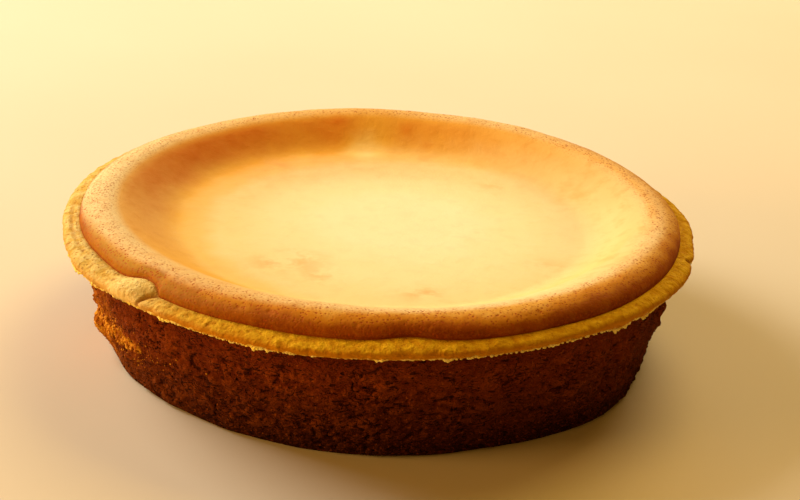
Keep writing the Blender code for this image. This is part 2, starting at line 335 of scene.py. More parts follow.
def seat(azimuth, clear):
    """Where the filling sits in the case, from the top of the lip in and down to the floor."""
    edge = edge_radius(azimuth)
    top = lip_top(azimuth)
    mouth = wall_inside(MOUTH_HEIGHT)
    halfway = (MOUTH_HEIGHT + FLOOR_THICKNESS) / 2
    corner = FLOOR_THICKNESS + FLOOR_FILLET
    line = [(edge, top), ((edge + mouth) / 2, top - MOUTH_DROP), (mouth, MOUTH_HEIGHT),
            (wall_inside(halfway), halfway), (wall_inside(corner), corner),
            (wall_inside(FLOOR_THICKNESS) - FLOOR_FILLET, FLOOR_THICKNESS),
            (BASE_RADIUS / 2, FLOOR_THICKNESS)]
    return [(radius - clear, height + clear) for radius, height in line]


def smooth(value, low, high):
    """0 at low, 1 at high, smooth between; low may be above high."""
    part = min(1.0, max(0.0, (value - low) / (high - low)))
    return part * part * (3.0 - 2.0 * part)


def arc_gap(azimuth, other, radius):
    """Distance along the cake's turn between two azimuths."""
    turn = (azimuth - other + 180.0) % 360.0 - 180.0
    return math.radians(turn) * radius


class Skin:
    """Points, faces and marks of one closed piece, built ring by ring."""

    def __init__(self, marks):
        self.points = []
        self.faces = []
        self.marks = {name: [] for name in marks}
        self.last = None

    def add(self, place, marks=None):
        """One point with its marks, which are 0 where they aren't given."""
        self.points.append(tuple(place))
        for name, values in self.marks.items():
            values.append((marks or {}).get(name, 0.0))
        return len(self.points) - 1

    def ring(self, count, spot):
        """A ring of points, joined to the last one; spot gives the place and marks at an azimuth."""
        ring = [self.add(*spot(360.0 * index / count)) for index in range(count)]
        if self.last is not None:
            self.join(self.last, ring)
        self.last = ring

    def rings(self, count, spot, values):
        """A ring for each value, of which spot gives the places and marks at an azimuth and value."""
        for value in values:
            self.ring(count, lambda azimuth: spot(azimuth, value))

    def join(self, low, high):
        """Faces between two rings of the same number of points, or of which one has twice the other's."""
        if len(low) == 1 or len(high) == 1:
            ring = high if len(low) == 1 else low
            for here, after in zip(ring, ring[1:] + ring[:1]):
                self.faces.append((low[0], after, here) if len(low) == 1 else (here, after, high[0]))
        elif len(low) == len(high):
            for index, here in enumerate(low):
                after = (index + 1) % len(low)
                self.faces.append((here, low[after], high[after], high[index]))
        elif len(high) == 2 * len(low):
            for index, here in enumerate(low):
                after = low[(index + 1) % len(low)]
                first, second, third = (high[(2 * index + step) % len(high)] for step in range(3))
                self.faces += [(here, second, first), (here, after, second), (after, third, second)]
        else:
            for index, here in enumerate(high):
                after = high[(index + 1) % len(high)]
                first, second, third = (low[(2 * index + step) % len(low)] for step in range(3))
                self.faces += [(first, second, here), (second, after, here), (second, third, after)]

    def cap(self, place, marks=None):
        """A single point that closes or starts the piece."""
        point = [self.add(place, marks)]
        if self.last is not None:
            self.join(self.last, point)
        self.last = point

    def piece(self, name, material):
        """The finished object."""
        data = bpy.data.meshes.new(name)
        data.from_pydata(self.points, [], self.faces)
        for mark, values in self.marks.items():
            data.attributes.new(mark, "FLOAT", "POINT").data.foreach_set("value", values)
        data.shade_smooth()
        data.materials.append(material)
        thing = bpy.data.objects.new(name, data)
        bpy.context.scene.collection.objects.link(thing)
        return thing


# ---------------------------------------------------------------- pastry case

def long_crack(azimuth, height):
    """Depth, 0 to 1, of the longer cracks at a point of the wall."""
    deepest = 0.0
    for first, low, second, high, half_width in LONG_CRACKS:
        gap = arc_gap(azimuth, first, CRACK_RADIUS)
        if abs(gap) > CRACK_REACH:
            continue
        along = Vector((arc_gap(second, first, CRACK_RADIUS), high - low))
        here = Vector((gap, height * 1000.0 - low))
        part = min(1.0, max(0.0, here.dot(along) / along.length_squared))
        ragged = 1.0 + 0.9 * noise.noise(Vector((here.x, here.y, first)) * 0.9)
        deepest = max(deepest, 1.0 - (here - part * along).length / (2.2 * half_width * ragged))
    return deepest


def short_cracks(spot):
    """Depth, 0 to 1, of the short cracks and torn hollows that lie along the wall."""
    flat = Vector((spot.x, spot.y, spot.z * CRACK_SQUASH))
    bent = flat + 0.004 * noise.noise_vector(spot * 120.0)
    line = 1.0 - abs(noise.noise(bent * 150.0)) / 0.11
    where = smooth(noise.noise(spot * 115.0 + Vector((3.1, 0.0, 0.0))), 0.08, 0.36)
    torn = smooth(noise.noise(bent * 260.0 + Vector((0.0, 5.3, 0.0))), 0.32, 0.50)
    return 0.9 * max(0.0, line) * where + 0.8 * torn


def crumb_lumps(spot):
    """Rounded lumps of crumb with sharp creases between them: about 0 in a crease, 1 on a lump."""
    flat = Vector((spot.x, spot.y, spot.z * LUMP_SQUASH))
    bent = flat + 0.0022 * noise.noise_vector(spot * 210.0)
    large = abs(noise.noise(bent * 120.0 + Vector((1.7, 0.0, 0.0))))
    middle = abs(noise.noise(bent * 270.0 + Vector((0.0, 2.9, 0.0))))
    small = abs(noise.noise(bent * 600.0 + Vector((0.0, 0.0, 4.3))))
    return 1.45 * large + 1.15 * middle + 0.40 * small


def leak_patch(azimuth, height, spot):
    """Strength, 0 to 1, of the baked-on custard on the wall."""
    near = sum(strength * bell(azimuth, centre, wide) * bell(height, level, tall)
               for centre, level, wide, tall, strength in LEAK_PATCHES)
    if near < 0.02:
        return 0.0
    return smooth(near + 0.55 * grained(spot, 330.0), 0.44, 0.60)


def wall_skin(azimuth, part):
    """Place and marks of a point on the wall."""
    radius, height = wall_point(azimuth, part)
    spot = on_cake(radius, azimuth, height)
    rough = 0.45 + 0.55 * smooth(noise.noise(spot * 55.0), -0.35, 0.25)
    calm = rough * (1.0 - 0.70 * smooth(part, CALM_PART - 0.20, CALM_PART))
    lumps = crumb_lumps(spot)
    grain = grained(spot, 700.0)
    crack = max(calm * short_cracks(spot), long_crack(azimuth, height))
    leak = leak_patch(azimuth, height, spot)
    crack = min(crack * (1.0 - 0.8 * leak), 1.0)
    crust = 0.0008 * leak * (0.4 + 1.6 * abs(noise.noise(spot * 380.0)))
    radius += calm * (LUMP_DEPTH * (lumps - 0.55) + GRAIN_DEPTH * grain) - CRACK_DEPTH * crack + crust
    # Painted light and shade: lighter on the lumps, darker in the creases between them
    relief_shading = 0.15 + calm * 0.75 * lumps + 0.30 * (1.0 - calm) + 0.12 * grain
    # Painted shade on the front of the wall, a little left of the middle
    relief_shading -= 0.10 * bell(azimuth, -104.0, 12.0)
    # Partly custard smeared on the wall, partly painted light on its lit left side
    smear_and_lit_side = bell(azimuth, -165.0, 19.0) * (0.80 + 0.60 * noise.noise(spot * 60.0))
    # Painted light on the lower left of the wall, where its painted shade low down is weaker
    up = part + 0.35 * (1.0 - part) * bell(azimuth, -160.0, 32.0)
    marks = {"up": up, "crack": crack, "relief_shading": relief_shading, "leak": leak, "smear_and_lit_side": smear_and_lit_side}
    return on_cake(radius, azimuth, height), marks


def lip_pit(azimuth, radius, pits):
    """Depth of the listed holes at a point."""
    depth = 0.0
    for centre, at, half_width, deep in pits:
        away = arc_gap(azimuth, centre, at)
        if abs(away) < 3.0 * half_width:
            depth = max(depth, deep * math.exp(-((away ** 2 + (radius - at) ** 2) / half_width ** 2)))
    return depth


def lip_skin(azimuth, turn):
    """Place and marks of a point on the lip, at an angle (0 widest, 90 inner) over its rounded edge."""
    edge = lip_edge(azimuth)
    inner = edge_radius(azimuth)
    widest = LIP_LOW + LIP_BULGE
    over = math.sin(math.radians(turn))
    out = math.cos(math.radians(turn))
    radius = inner + (edge - inner) * out
    lapped = lap(azimuth + LAP_SLANT * out)
    top = lip_top(azimuth) + LAP_RISE * (lapped - lap(azimuth))
    height = widest + (top - widest) * over
    spot = on_cake(radius, azimuth, height)
    free = smooth(turn, 90.0, 62.0)
    lift = (0.00042 * grained(spot, 170.0) + 0.00016 * grained(spot, 520.0)) * (0.35 + 0.65 * free)
    lift += 0.0007 * lapped * math.sin(math.radians(2.0 * turn))
    groove = bell(azimuth, -166.0, 12.0) * math.exp(-((radius - 0.1268) / 0.0007) ** 2)
    crease_azimuth = LAP_AZIMUTH + LAP_END + 0.1 - LAP_SLANT * out
    crease = math.exp(-(arc_gap(azimuth, crease_azimuth, radius) / 0.0007) ** 2)
    pit = lip_pit(azimuth, radius, LIP_PITS)
    sunk = 0.0005 * groove + 0.0007 * crease * free + pit
    crack = bell(azimuth, -16.4, 0.5) * smooth(radius, 0.1262, 0.1275)
    lift += 0.0007 * bell(azimuth, -136.2, 2.0) * smooth(turn, 60.0, 20.0)
    radius += out * (lift - sunk - 0.0010 * crack)
    height += over * (lift - sunk - 0.0008 * crack)
    height -= TOOTH_DEPTH * teeth(azimuth) * smooth(turn, 10.0, -8.0)
    creamy_and_highlight = min(1.0, swell(azimuth, CREAMY_AND_HIGHLIGHT_PARTS))
    # Painted shade: less creamy low on the lip's outer face
    creamy_and_highlight *= (1.0 - 0.40 * smooth(turn, 36.0, 4.0)) * (1.0 - 0.30 * bell(azimuth, -142.5, 4.0))
    marks = {"rim": 1.0, "over": turn / 90.0, "fibrous": bell(azimuth, -20.0, 20.0), "creamy_and_highlight": creamy_and_highlight,
             "sunlit": min(1.0, swell(azimuth, SUNLIT_PARTS)),
             # On the knob of the lap this is a painted highlight
             "tooth_and_highlight": 0.9 * bell(azimuth, -135.4, 4.0) * smooth(turn, 92.0, 66.0),
             # Painted shade in the groove, in the crease at the lap's end, in the holes and in the crack
             "fold_shade": min(1.0, 0.55 * groove + crease + 1400.0 * pit + crack)}
    return on_cake(radius, azimuth, height), marks


def lip_under(azimuth, part):
    """Place and marks under the lip, at part (0 wall, 1 ragged lower edge)."""
    edge, low = torn_edge(azimuth)
    start = WALL_TOP_RADIUS - CRUST_DEPTH
    radius = start + part * (edge - 0.0004 - start)
    outer = smooth(part, 0.8, 1.0)
    height = LIP_LOW - 0.0004 + part * (low - LIP_LOW + 0.0004) - TOOTH_DEPTH * teeth(azimuth) * outer
    marks = {"rim": 1.0, "tooth_and_highlight": outer * min(1.0, 1.6 * teeth(azimuth))}
    return on_cake(radius, azimuth, height), marks


@lru_cache(maxsize=None)
def teeth(azimuth):
    """Reach, 0 to 1, of the small teeth of the lip's torn lower edge."""
    spot = on_cake(LIP_RADIUS, azimuth, 0.0)
    beads = smooth(noise.noise(spot * 460.0), 0.02, 0.24)
    fine = smooth(noise.noise(spot * 1000.0 + Vector((4.7, 0.0, 0.0))), 0.02, 0.34)
    strong = max(bell(azimuth, centre, half_width) for centre, half_width in TORN_PARTS)
    coarse = bell(azimuth, -62.0, 30.0)
    strong *= 1.0 - 0.55 * coarse
    return (0.20 + 0.80 * strong) * min(1.0, (0.35 + 0.65 * coarse) * beads + (0.70 - 0.45 * coarse) * fine)


def foot_skin(azimuth, turn):
    """Place and marks on the rounded foot, at an angle (0 below, 90 outside)."""
    radius, _ = wall_point(azimuth, 0.0)
    radius += FOOT_ROUND * (math.sin(math.radians(turn)) - 1.0)
    height = FOOT_ROUND * (1.0 - math.cos(math.radians(turn)))
    return on_cake(radius, azimuth, height), {"relief_shading": 0.5}


def inner_wall(azimuth, part, height, depth):
    """A point behind the wall's surface."""
    radius, _ = wall_point(azimuth, part)
    return on_cake(radius - depth, azimuth, height), {"relief_shading": 0.5}


def make_wall(material):
    """The craggy outer crust of the wall, with its back inside the case."""
    skin = Skin(("up", "crack", "relief_shading", "leak", "smear_and_lit_side", "rim"))
    skin.ring(WALL_COUNT, lambda azimuth: inner_wall(azimuth, 0.0, 0.0, CRUST_DEPTH))
    first = skin.last
    skin.rings(WALL_COUNT, foot_skin, (0.0, 45.0))
    skin.rings(WALL_COUNT, wall_skin, (row / WALL_ROWS for row in range(WALL_ROWS + 1)))
    skin.ring(WALL_COUNT, lambda azimuth: inner_wall(azimuth, 1.0, LIP_LOW + 0.0008, CRUST_DEPTH))
    skin.join(skin.last, first)
    return skin.piece("wall_crust", material)


def underside(azimuth, radius):
    """Place and marks on the underside."""
    return on_cake(radius, azimuth, 0.0), {"relief_shading": 0.5}


def behind_crust(azimuth, part):
    """Place and marks on the case's wall, just behind its crust."""
    return inner_wall(azimuth, part, part * LIP_LOW, INNER_DEPTH)


def case_seat(azimuth, index):
    """Place and marks on the case's side of the seat."""
    radius, height = seat(azimuth, 0.0)[index]
    return on_cake(radius, azimuth, height), {"rim": 1.0}


def make_case(material):
    """The shortcrust case: floor, wall and overhanging lip."""
    skin = Skin(("up", "rim", "over", "crack", "relief_shading", "leak", "smear_and_lit_side", "tooth_and_highlight", "fold_shade", "fibrous",
                 "creamy_and_highlight", "sunlit"))
    skin.cap((0.0, 0.0, 0.0), {"relief_shading": 0.5})
    for count, radius in UNDERSIDE_RINGS:
        skin.rings(count, underside, (radius,))
    skin.rings(300, behind_crust, (0.02, 0.25, 0.5, 0.75))
    skin.rings(600, lip_under, (0.0,))
    skin.rings(1200, lip_under, (0.25,))
    skin.rings(LIP_COUNT, lip_under, (0.5, 0.8, 0.92, 1.0))
    skin.rings(LIP_COUNT, lip_skin, LIP_TURNS)
    for index, count in enumerate((2400, 1200, 600, 300, 300, 300, 150)):
        skin.rings(count, case_seat, (index,))
    skin.cap((0.0, 0.0, FLOOR_THICKNESS), {"rim": 1.0})
    return skin.piece("pastry_case_baked", material)


# -------------------------------------------------------------------- filling

def brown_spots(azimuth, radius):
    """Change of the browning's strength in its spots."""
    total = 0.0
    for centre, at, half_width, change in BROWN_SPOTS:
        away = arc_gap(azimuth, centre, at)
        total += change * math.exp(-(away ** 2 + (radius - at) ** 2) / half_width ** 2)
    return total


def smudge(azimuth, radius):
    """Strength of the faint smudges at a point of the middle."""
    here = plan(azimuth, radius)
    return sum(strength * math.exp(-((here - plan(centre, at)).length / half_width) ** 2)
               for centre, at, half_width, strength in SMUDGES)


def zone(azimuth, radius, centre, half_width, start, full, end, last):
    """1 in a zone of the top round an azimuth and between radii, falling smoothly to 0 round it."""
    return bell(azimuth, centre, half_width) * smooth(radius, start, full) * smooth(radius, end, last)


def tone_and_light_shift(azimuth, radius):
    """Shift of the bake's colours: outer tones reach further in on the left and at the back, a painted shade,
    and less far on the right, a painted highlight; a painted sheen lies near the middle.
    """
    zones = sum(shift * zone(azimuth, radius, *place) for shift, place in TONE_AND_LIGHT_ZONES)
    here = plan(azimuth, radius)
    # Painted sheen round a spot just right of the middle
    centre = math.exp(-((here - SHEEN_CENTRE).length / SHEEN_REACH) ** 2)
    away = here - CLEAR_PATCH
    clear = math.exp(-(away.x / CLEAR_REACH.x) ** 2 - (away.y / CLEAR_REACH.y) ** 2)
    return zones + SHEEN_SHIFT * centre + CLEAR_SHIFT * clear


def tan_and_sheen(azimuth, radius):
    """Strength of the paler skin on the crest, which lies on its inner side in front and on the right: partly
    a painted highlight, on the left of the crest and on the inner slopes.
    """
    front = bell(azimuth, -62.0, 62.0)
    inner = smooth(radius, 0.1055 - 0.0185 * front, 0.1120 - 0.0130 * front)
    wide = 0.0045 * bell(azimuth, -176.0, 16.0)
    outer = smooth(radius, 0.1225 - 0.0080 * front + wide, 0.1165 - 0.0060 * front + wide)
    strong = max(0.85 * front, bell(azimuth, 178.0, 60.0), 0.55 * bell(azimuth, 64.0, 24.0),
                 0.75 * bell(azimuth, -18.0, 16.0))
    crest = (0.20 + 0.80 * strong) * inner * outer
    return max(crest, 0.75 * zone(azimuth, radius, *RIGHT_SLOPE_LIGHT), 0.30 * zone(azimuth, radius, *LEFT_SLOPE_LIGHT))


def shaded_foot(azimuth, radius):
    """Strength of the painted shade, a browner ring, at the foot of the inner slope, at the back and the
    right.
    """
    return FOOT_SHADE * max(zone(azimuth, radius, *BACK_FOOT), 0.8 * zone(azimuth, radius, *RIGHT_FOOT))


def bake_marks(azimuth, radius, browning_and_shade):
    """Marks of the bake on the inner slope and the middle."""
    browning_and_shade = min(1.0, max(0.0, browning_and_shade + brown_spots(azimuth, radius)))
    return {"path": radius / BAKE_REACH, "tan_and_sheen": tan_and_sheen(azimuth, radius), "browning_and_shade": browning_and_shade,
            "smudge": smudge(azimuth, radius), "shift": tone_and_light_shift(azimuth, radius)}


def crest_height(azimuth):
    """Height of the crest at one azimuth."""
    return CREST_HEIGHT + swell(azimuth, CREST_SWELLS)


def clearance(azimuth):
    """Gap between the filling and the pastry."""
    return GAP + LAP_GAP * lap(azimuth)


def flank_skin(azimuth, turn):
    """Place and marks on the crest's outer flank, at an angle (0 foot, 90 crest)."""
    foot = lip_top(azimuth) + SIDE_FOOT
    reach = edge_radius(azimuth) - clearance(azimuth) + OVERHANG - CREST_RADIUS
    over = math.sin(math.radians(turn))
    out = math.cos(math.radians(turn))
    radius = CREST_RADIUS + reach * out
    height = foot + (crest_height(azimuth) - foot) * over
    spot = on_cake(radius, azimuth, height)
    lift = FLANK_DEPTH * grained(spot, SKIN_CELLS) + FLANK_GRAIN * grained(spot, GRAIN_CELLS)
    pit = lip_pit(azimuth, radius, CREST_PITS)
    radius += out * (lift - pit)
    height += over * (lift - pit)
    path = CREST_RADIUS + (BAKE_REACH - CREST_RADIUS) * (1.0 - turn / 90.0)
    paler = -0.028 * bell(azimuth, 4.0, 26.0) * smooth(turn, 80.0, 40.0)
    marks = {"path": path / BAKE_REACH, "pit": min(1.0, PIT_SHADE * pit), "shift": paler,
             "tan_and_sheen": tan_and_sheen(azimuth, path), "golden": bell(azimuth, -142.0, 24.0) * smooth(turn, 72.0, 34.0)}
    return on_cake(radius, azimuth, height), marks


def dish_skin(azimuth, part):
    """Place and marks on the crest's inner slope, at part (0 crest, 1 foot of the slope)."""
    crest = crest_height(azimuth)
    radius = CREST_RADIUS + part * (DISH_RADIUS - CREST_RADIUS)
    fall = part * part * (3.0 - 2.0 * part)
    dimple = DIMPLE_DEPTH * part * uneven(radius, azimuth, DISH_HEIGHT, DIMPLE_CELLS, 1)
    height = crest - (crest - DISH_HEIGHT) * fall + dimple
    spot = on_cake(radius, azimuth, height)
    pit = lip_pit(azimuth, radius, CREST_PITS)
    height += SKIN_DEPTH * grained(spot, SKIN_CELLS) + SKIN_GRAIN * noise.noise(spot * GRAIN_CELLS) - pit
    ragged = radius + 0.005 * noise.noise(spot * 55.0)
    browning_and_shade = min(1.0, swell(azimuth, BROWNED))
    browning_and_shade *= smooth(radius, 0.110, 0.1035) * smooth(ragged, 0.080, 0.100)
    marks = bake_marks(azimuth, radius, max(browning_and_shade, shaded_foot(azimuth, radius)))
    marks["pit"] = min(1.0, PIT_SHADE * pit)
    return on_cake(radius, azimuth, height), marks


def middle_skin(azimuth, part):
    """Place and marks on the sunken middle, at part (0 centre, 1 foot of the slope) of its radius."""
    radius = part * DISH_RADIUS
    dimple = DIMPLE_DEPTH * part * uneven(radius, azimuth, DISH_HEIGHT, DIMPLE_CELLS, 1)
    height = SUNK_HEIGHT + (DISH_HEIGHT - SUNK_HEIGHT) * part * part + dimple
    spot = on_cake(radius, azimuth, height)
    height += SKIN_DEPTH * grained(spot, SKIN_CELLS)
    return on_cake(radius, azimuth, height), bake_marks(azimuth, radius, shaded_foot(azimuth, radius))


def contact_skin(azimuth, step):
    """Place and marks where the filling meets the lip: step 0 in the pastry, 1 just above it."""
    undercut = min(1.0, swell(azimuth, STAND_OFF))
    radius = edge_radius(azimuth) + 0.0004 - 0.0008 * step * undercut
    height = lip_top(azimuth) - 0.0004 + 0.0006 * step
    # Painted shade: the pit mark here darkens the narrow gap where the filling's side stands off the lip
    return on_cake(radius, azimuth, height), {"path": 1.0, "pit": 0.6 * undercut}


def filling_seat(azimuth, index):
    """Place and marks on the filling's side of the seat."""
    radius, height = seat(azimuth, clearance(azimuth))[index]
    return on_cake(radius, azimuth, height), {"path": 1.0}


def make_filling(material):
    """The filling, solid down to the case's floor."""
    skin = Skin(("path", "browning_and_shade", "smudge", "pit", "shift", "tan_and_sheen", "golden"))
    skin.cap((0.0, 0.0, FLOOR_THICKNESS + GAP))
    for index, count in zip((6, 5, 4, 3, 2, 1), (90, 180, 360, 360, 360, 720)):
        skin.rings(count, filling_seat, (index,))
    skin.rings(TOP_COUNT, contact_skin, (0, 1))
    skin.rings(TOP_COUNT, flank_skin, (4.5 * step for step in range(21)))
    skin.rings(TOP_COUNT, dish_skin, (0.026 * step for step in range(1, 16)))
    skin.rings(720, dish_skin, (0.39 + 0.61 * step / 15 for step in range(1, 16)))
    skin.rings(360, middle_skin, (1.0 - 0.46 * step / 26 for step in range(1, 27)))
    skin.rings(180, middle_skin, (0.54 - 0.34 * step / 13 for step in range(1, 14)))
    skin.rings(90, middle_skin, (0.13, 0.06))
    skin.cap((0.0, 0.0, SUNK_HEIGHT))
    return skin.piece("filling_baked", material)


# ---------------------------------------------------------- burr, flakes, crumbs

def burr_reach(azimuth):
    """How far the torn edge hangs below the lip."""
    spot = on_cake(LIP_RADIUS, azimuth, 0.0)
    ragged = 0.7 + 0.9 * noise.noise(spot * 500.0) + 0.7 * noise.noise(spot * 1250.0)
    torn = swell(azimuth, SLIVERS) * max(0.1, ragged)
    return 0.00004 + 0.00022 * bell(azimuth, -150.0, 24.0) + 0.0008 * teeth(azimuth) + torn


def make_burr(material):
    """The pale torn edge under the lip, where the pastry was trimmed."""
    skin = Skin(("pale",))
    sections = []
    for index in range(BURR_COUNT):
        azimuth = 360.0 * index / BURR_COUNT
        edge, low = torn_edge(azimuth)
        reach = burr_reach(azimuth)
        outer = edge - 0.0003 + 0.0003 * noise.noise(on_cake(edge, azimuth, 0.0) * 900.0)
        tip = outer + 0.30 * reach
        pale = {"pale": min(1.0, 0.10 + reach / 0.0005)}
        sections.append([skin.add(on_cake(outer - 0.0002, azimuth, low + 0.0006), pale),
                         skin.add(on_cake(outer - 0.0012, azimuth, low + 0.0006), pale),
                         skin.add(on_cake(tip - 0.0006, azimuth, low - reach), pale),
                         skin.add(on_cake(tip - 0.0001, azimuth, low - 0.8 * reach), pale)])
    for here, after in zip(sections, sections[1:] + sections[:1]):
        for corner in range(4):
            nextcorner = (corner + 1) % 4
            skin.faces.append((here[corner], here[nextcorner], after[nextcorner], after[corner]))
    draw = random.Random(11)
    for first, last, step, size in BEADS:
        for index in range(round((last - first) / step)):
            azimuth = first + step * (index + draw.uniform(-0.25, 0.25))
            edge, low = torn_edge(azimuth)
            grown = size * draw.uniform(0.65, 1.2)
            place = on_cake(edge - 0.0004, azimuth, low - 0.2 * grown)
            lump(skin, place, grown, 0.8, index, {"pale": 0.9})
    return skin.piece("lip_burr", material)


def lump(skin, centre, size, squash, seed, marks):
    """One irregular closed crumb."""
    rows, count = 4, 7
    base = Vector((seed * 1.7, seed * 0.9, seed * 2.3))
    outward = Vector((centre.x, centre.y, 0.0)).normalized()
    along = Vector((-outward.y, outward.x, 0.0))
    rings = []
    for row in range(rows + 1):
        tilt = math.pi * row / rows
        ring = []
        for step in range(1 if row in (0, rows) else count):
            turn = 2.0 * math.pi * (step + 0.5 * (row % 2)) / count
            ray = Vector((math.sin(tilt) * math.cos(turn), math.sin(tilt) * math.sin(turn), -math.cos(tilt)))
            length = size * (1.0 + 0.42 * noise.noise(ray * 1.9 + base))
            reach = ray.x * along + ray.y * squash * outward + Vector((0.0, 0.0, 0.75 * ray.z))
            ring.append(skin.add(centre + length * reach, marks))
        rings.append(ring)
    skin.last = None
    for low, high in zip(rings, rings[1:]):
        skin.join(low, high)


def make_crumbs(material):
    """Crumbs baked on to the wall, thickest low down."""
    skin = Skin(("up", "leak", "relief_shading"))
    draw = random.Random(7)
    for index in range(CRUMBS):
        azimuth = draw.uniform(-180.0, 180.0)
        part = draw.random() ** 1.25 * 0.88
        size = draw.uniform(0.00020, 0.00052)
        place, marks = wall_skin(azimuth, part)
        bake = {"up": part, "leak": marks["leak"], "relief_shading": draw.uniform(0.35, 1.0)}
        lump(skin, place, size, 0.7, index, bake)
    for index in range(LEAK_CRUMBS):
        azimuth = -148.0 + draw.gauss(0.0, 8.5)
        height = min(0.040, max(0.003, 0.0190 + draw.gauss(0.0, 0.0040)))
        part = (height - FOOT_ROUND) / (LIP_LOW - FOOT_ROUND)
        place, marks = wall_skin(azimuth, part)
        bake = {"up": part, "leak": 1.0, "relief_shading": draw.uniform(0.2, 1.0)}
        size = draw.uniform(0.00025, 0.00050) + 0.00045 * marks["leak"]
        lump(skin, place, size, 0.8, CRUMBS + index, bake)
    return skin.piece("wall_crumbs", material)


# ------------------------------------------------------------------ materials

class Look:
    """A node material, with short calls for the nodes that the bakes use."""

    def __init__(self, name):
        self.material = bpy.data.materials.new(name)
        self.material.use_nodes = True
        self.tree = self.material.node_tree
        self.shader = self.tree.nodes["Principled BSDF"]
        self.place = self.node("ShaderNodeTexCoord").outputs["Object"]

    def node(self, kind, **settings):
        """A new node with the given properties."""
        made = self.tree.nodes.new(kind)
        for name, value in settings.items():
            setattr(made, name, value)
        return made

    def feed(self, socket, value):
        """Link a socket to a node's output, or set it to a value."""
        if isinstance(value, bpy.types.NodeSocket):
            self.tree.links.new(value, socket)
        elif isinstance(value, tuple) and len(value) == 3 and len(socket.default_value) == 4:
            socket.default_value = (*value, 1.0)
        else:
            socket.default_value = value

    def mark(self, name):
        """A mark that the mesh carries."""
        return self.node("ShaderNodeAttribute", attribute_name=name).outputs["Fac"]

    def scaled(self, factors):
        """The place multiplied by a vector."""
        made = self.node("ShaderNodeVectorMath", operation="MULTIPLY")
        self.feed(made.inputs[0], self.place)
        self.feed(made.inputs[1], factors)
        return made.outputs[0]

    def bent(self, amount, scale, source):
        """A place shifted by noise, so that the cells there look torn."""
        warp = self.node("ShaderNodeTexNoise")
        self.feed(warp.inputs["Vector"], source)
        self.feed(warp.inputs["Scale"], scale)
        made = self.node("ShaderNodeVectorMath", operation="MULTIPLY_ADD")
        self.feed(made.inputs[0], warp.outputs["Color"])
        self.feed(made.inputs[1], (amount, amount, amount))
        self.feed(made.inputs[2], source)
        return made.outputs[0]

    def bearing(self):
        """The direction from the cake's axis, as a unit vector."""
        made = self.node("ShaderNodeVectorMath", operation="NORMALIZE")
        self.feed(made.inputs[0], self.scaled((1.0, 1.0, 0.0)))
        return made.outputs[0]

    def noise(self, scale, detail=2.0, rough=0.5, place=None, distortion=0.0):
        """Noise of 0 to 1, with about scale cells to the metre."""
        made = self.node("ShaderNodeTexNoise")
        self.feed(made.inputs["Vector"], place or self.place)
        self.feed(made.inputs["Scale"], scale)
        self.feed(made.inputs["Detail"], detail)
        self.feed(made.inputs["Roughness"], rough)
        self.feed(made.inputs["Distortion"], distortion)
        return made.outputs["Fac"]

    def billow(self, scale, detail=1.0, place=None):
        """Rounded lumps, up to about 0.4, with creases of 0 between them."""
        return self.sums("ABSOLUTE", self.sums("SUBTRACT", self.noise(scale, detail, 0.5, place), 0.5), 0.0)

    def cells(self, scale):
        """Distance from the middles of cells, with about scale of them to the metre."""
        made = self.node("ShaderNodeTexVoronoi")
        self.feed(made.inputs["Vector"], self.place)
        self.feed(made.inputs["Scale"], scale)
        return made.outputs["Distance"]

    def ramp(self, value, low, high, to_low=0.0, to_high=1.0):
        """The value taken smoothly from low..high to to_low..to_high."""
        made = self.node("ShaderNodeMapRange", interpolation_type="SMOOTHSTEP")
        for name, number in zip(("Value", "From Min", "From Max", "To Min", "To Max"),
                                (value, low, high, to_low, to_high)):
            self.feed(made.inputs[name], number)
        return made.outputs["Result"]

    def sums(self, operation, first, second):
        """The result of an operation on two numbers."""
        made = self.node("ShaderNodeMath", operation=operation)
        self.feed(made.inputs[0], first)
        self.feed(made.inputs[1], second)
        return made.outputs[0]

    def times(self, first, second):
        """The product of two numbers."""
        return self.sums("MULTIPLY", first, second)

    def plus(self, first, second):
        """The sum of two numbers."""
        return self.sums("ADD", first, second)

    def most(self, first, second):
        """The larger of two numbers."""
        return self.sums("MAXIMUM", first, second)

    def mix(self, part, first, second):
        """Colour mixed from first to second."""
        made = self.node("ShaderNodeMix", data_type="RGBA")
        self.feed(made.inputs["Factor"], part)
        self.feed(made.inputs["A"], first)
        self.feed(made.inputs["B"], second)
        return made.outputs["Result"]

    def bands(self, value, stops):
        """A colour for each stretch of a value: stops of position and colour."""
        made = self.node("ShaderNodeValToRGB")
        ramp = made.color_ramp
        ramp.interpolation = "EASE"
        first, last = ramp.elements
        first.position, first.color = stops[0][0], (*stops[0][1], 1.0)
        last.position, last.color = stops[-1][0], (*stops[-1][1], 1.0)
        for position, colour in stops[1:-1]:
            ramp.elements.new(position).color = (*colour, 1.0)
        self.feed(made.inputs["Fac"], value)
        return made.outputs["Color"]

    def bump(self, height, distance, normal=None):
        """Fine relief on top of the mesh, distance in metres."""
        made = self.node("ShaderNodeBump")
        self.feed(made.inputs["Strength"], 1.0)
        self.feed(made.inputs["Distance"], distance)
        self.feed(made.inputs["Height"], height)
        if normal is not None:
            self.feed(made.inputs["Normal"], normal)
        return made.outputs["Normal"]

    def finish(self, colour, roughness, normal, specular):
        """The material with its shader linked up."""
        self.feed(self.shader.inputs["Base Color"], colour)
        self.feed(self.shader.inputs["Roughness"], roughness)
        self.feed(self.shader.inputs["Normal"], normal)
        self.shader.inputs["Specular IOR Level"].default_value = specular
        return self.material


